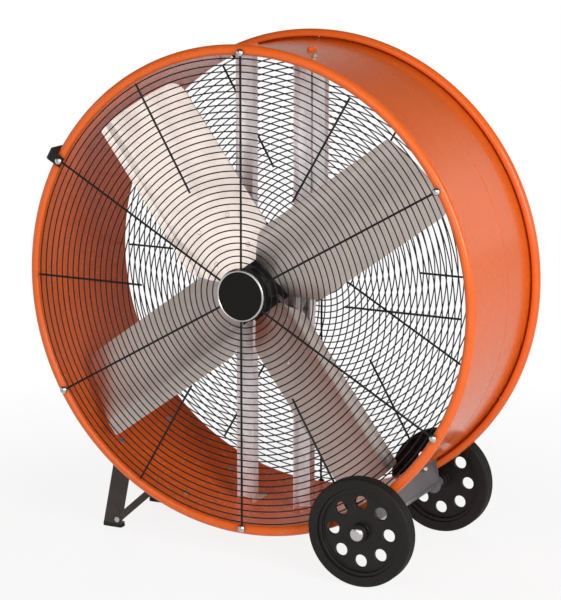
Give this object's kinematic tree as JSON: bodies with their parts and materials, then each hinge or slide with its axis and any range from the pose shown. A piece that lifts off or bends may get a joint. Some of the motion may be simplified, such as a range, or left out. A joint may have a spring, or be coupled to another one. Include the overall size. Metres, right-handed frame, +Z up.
{
  "type": "drum fan",
  "caption": "Large drum fan: round sheet-metal drum between flat wire guards, direct-driven blades, standing on two wheels and two braced legs, with a strap handle.",
  "frame": {"origin": "on the floor, midway between the drum's sides and midway between its two faces", "axes": "+Z up, -Y out of the front guard along the drum's axis, +X towards the wheels"},
  "size_m": [1.1428, 0.5266, 1.2084],
  "materials": {
    "orange_paint": "gloss",
    "guard_wire": "satin black",
    "chrome": "bright",
    "badge_black": "gloss",
    "strut_grey": "satin galvanised",
    "zinc": "zinc plated",
    "bare_steel": "ground",
    "motor_paint": "satin",
    "core_iron": "raw",
    "lead_black": "matt",
    "pad_rubber": "matt",
    "bracket_grey": "satin",
    "leg_paint": "satin",
    "handle_black": "satin",
    "handle_rubber": "matt",
    "box_black": "fine texture",
    "hub_black": "satin",
    "blade_aluminium": "mill finish",
    "wheel_black": "moulded",
    "tyre_rubber": "matt",
    "knob_grey": "moulded"
  },
  "bodies": {
    "frame": {"drum_barrel": "orange_paint", "guard_front": "guard_wire", "guard_rear": "guard_wire", "guard_screws_front": "chrome", "guard_screws_rear": "chrome", "badge_disc": "badge_black", "badge_bezel": "chrome", "badge_backing": "guard_wire", "strut_left": "strut_grey", "strut_right": "strut_grey", "strut_bolts": "zinc", "motor_plate": "strut_grey", "motor_plate_bolts": "zinc", "motor_front_bell": "motor_paint", "motor_shell": "motor_paint", "motor_rear_bell": "motor_paint", "motor_bolts": "zinc", "motor_bearings": "bare_steel", "motor_stator": "core_iron", "terminal_box": "motor_paint", "wiring_cover": "strut_grey", "wiring_cover_bolt": "zinc", "motor_lead": "lead_black", "lead_clips": "lead_black", "lead_grommets": "pad_rubber", "axle_bracket": "bracket_grey", "axle_bracket_bolts": "zinc", "axle": "bare_steel", "wheel_spacers": "bracket_grey", "hub_caps": "chrome", "leg_post_front": "leg_paint", "leg_post_rear": "leg_paint", "leg_brace_front": "leg_paint", "leg_brace_rear": "leg_paint", "leg_bolts": "zinc", "leg_foot_bolts": "zinc", "foot_pads": "pad_rubber", "handle_strap": "handle_black", "handle_grip": "handle_rubber", "control_box": "box_black", "control_box_cover": "box_black", "control_box_screws": "zinc", "control_box_bolts": "zinc", "speed_switch": "box_black", "cord_gland": "box_black"},
    "rotor": {"motor_shaft": "bare_steel", "motor_rotor_core": "core_iron", "hub_spider": "hub_black", "hub_bolt": "zinc", "blade_1": "blade_aluminium", "blade_2": "blade_aluminium", "blade_3": "blade_aluminium", "blade_4": "blade_aluminium", "blade_rivets": "blade_aluminium"},
    "front_wheel": {"wheel_front": "wheel_black", "tyre_front": "tyre_rubber"},
    "rear_wheel": {"wheel_rear": "wheel_black", "tyre_rear": "tyre_rubber"},
    "knob": {"speed_knob": "knob_grey"}
  },
  "joints": [
    {"name": "blade_spin", "type": "hinge", "parent": "frame", "child": "rotor", "pos_m": [0, -0.15, 0.637], "axis": [0, 1, 0], "continuous": true},
    {"name": "front_wheel_roll", "type": "hinge", "parent": "frame", "child": "front_wheel", "pos_m": [0.31645, -0.231, 0.127], "axis": [0, 1, 0], "continuous": true},
    {"name": "rear_wheel_roll", "type": "hinge", "parent": "frame", "child": "rear_wheel", "pos_m": [0.31645, 0.231, 0.127], "axis": [0, 1, 0], "continuous": true},
    {"name": "speed_select", "type": "hinge", "parent": "frame", "child": "knob", "pos_m": [-0.37944, 0.092, 1.0892], "axis": [-0.6428, 0, 0.766], "range_deg": [-90, 0]}
  ]
}
